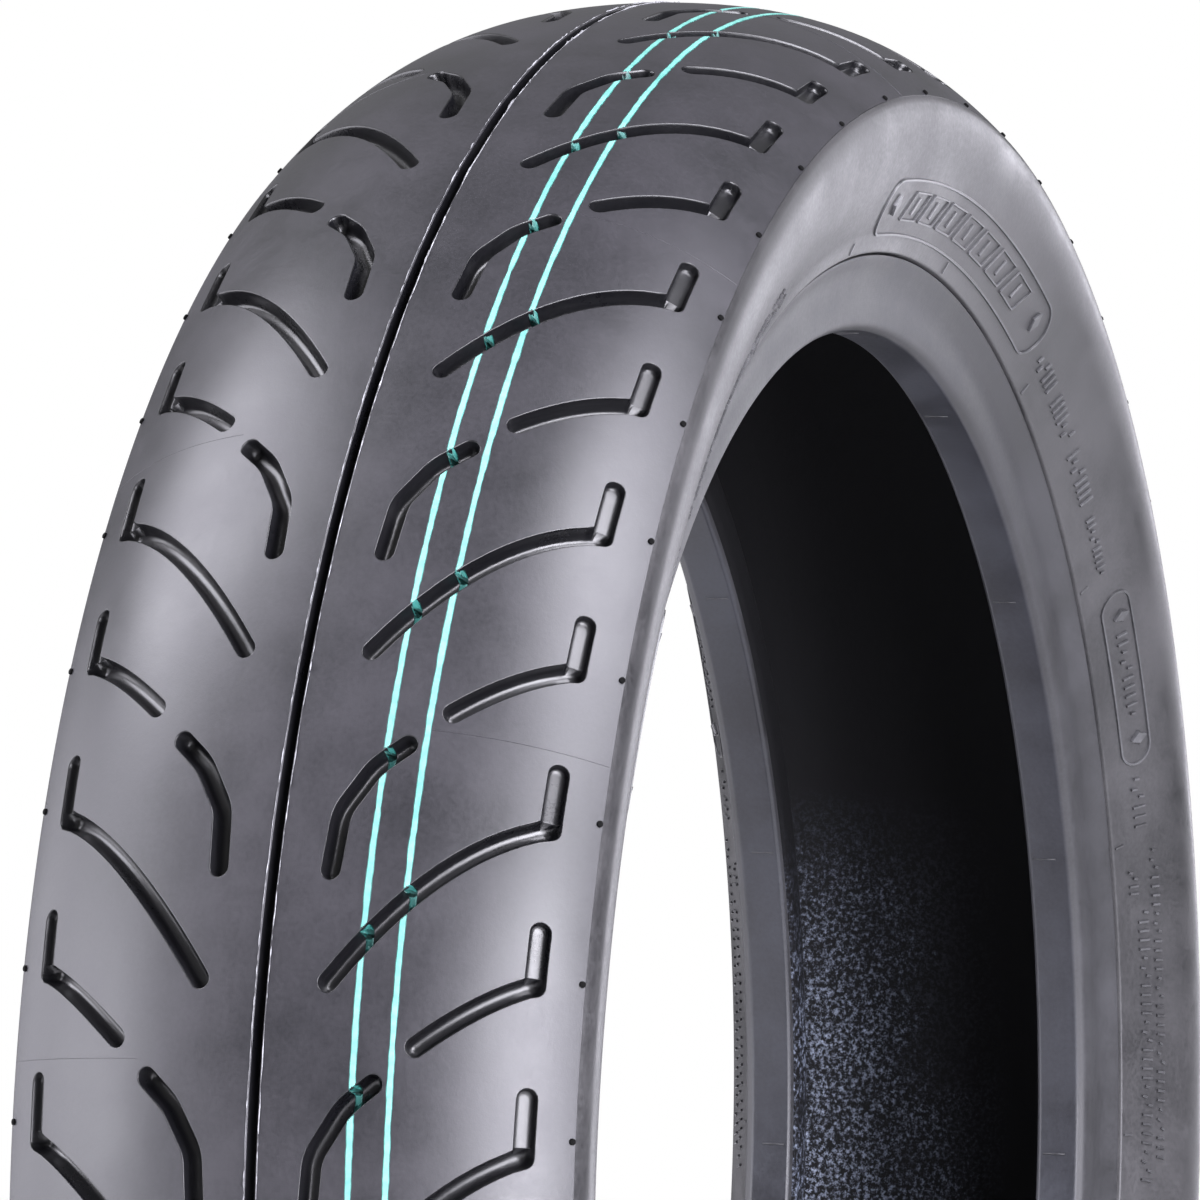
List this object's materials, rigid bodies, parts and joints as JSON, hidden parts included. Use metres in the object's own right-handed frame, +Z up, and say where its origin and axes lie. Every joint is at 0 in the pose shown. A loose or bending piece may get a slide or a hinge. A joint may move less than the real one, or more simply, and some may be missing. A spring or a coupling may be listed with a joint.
{
  "type": "motorcycle tyre",
  "caption": "Tubeless motorcycle tyre with a rounded crown, hooked tread grooves, a centre groove, layered carcass and wire beads.",
  "frame": {"origin": "centre of the wheel: on the axle line, in the tyre's centre plane", "axes": "+Y along the wheel's axle, towards the left sidewall; +Z up; the tyre is round about Y"},
  "size_m": [0.604, 0.1398, 0.604],
  "materials": {
    "tread_rubber": "satin black tread rubber",
    "sidewall_rubber": "smooth satin black rubber",
    "liner_rubber": "glossy black airtight rubber",
    "hard_rubber": "hard dull rubber",
    "cord_fabric": "rubber-coated nylon cord",
    "bead_wire": "bronze-coated steel wire",
    "stripe_ink": "teal marking ink"
  },
  "bodies": {
    "root": {"tread_cap": "tread_rubber", "tread_base": "hard_rubber", "breaker_ply_outer": "cord_fabric", "breaker_ply_inner": "cord_fabric", "carcass_ply_outer": "cord_fabric", "carcass_ply_inner": "cord_fabric", "inner_liner": "liner_rubber", "marking_stripe_inner": "stripe_ink", "marking_stripe_outer": "stripe_ink", "sidewall_left": "sidewall_rubber", "sidewall_right": "sidewall_rubber", "bead_core_left": "bead_wire", "bead_core_right": "bead_wire", "bead_wrap_left": "cord_fabric", "bead_wrap_right": "cord_fabric", "bead_filler_left": "hard_rubber", "bead_filler_right": "hard_rubber", "chafer_left": "cord_fabric", "chafer_right": "cord_fabric", "rim_cushion_left": "sidewall_rubber", "rim_cushion_right": "sidewall_rubber"}
  },
  "joints": []
}
